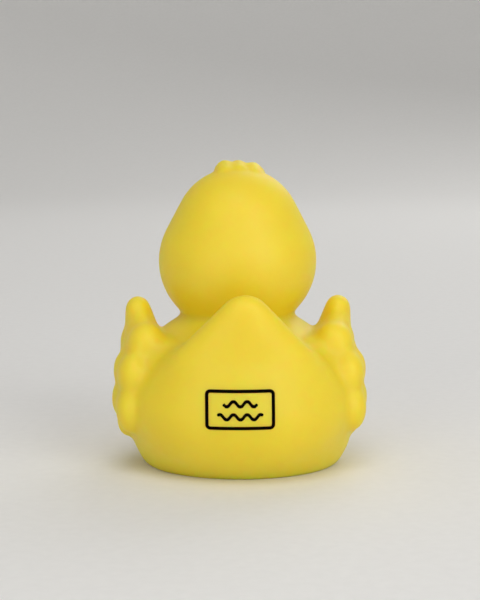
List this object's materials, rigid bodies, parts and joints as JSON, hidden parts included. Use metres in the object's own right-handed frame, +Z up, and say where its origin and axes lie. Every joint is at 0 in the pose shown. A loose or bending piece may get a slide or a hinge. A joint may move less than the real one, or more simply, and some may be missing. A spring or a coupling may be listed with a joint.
{
  "type": "rubber duck",
  "caption": "Bath duck moulded in one piece of soft vinyl, with raised wings, an upturned tail, a small head tuft and a flat base.",
  "frame": {"origin": "centre of the bounding box at the flat base", "axes": "+Z up, along the duck's height; -Y the way the duck faces; +X to the duck's left, across the wings"},
  "size_m": [0.0676, 0.0726, 0.0802],
  "materials": {
    "yellow_vinyl": "soft matte vinyl, moulded in colour",
    "bill_paint": "satin paint, orange",
    "eye_white_paint": "satin paint, white",
    "black_paint": "satin paint and printing ink, black"
  },
  "bodies": {
    "root": {"duck": "yellow_vinyl"}
  },
  "joints": []
}
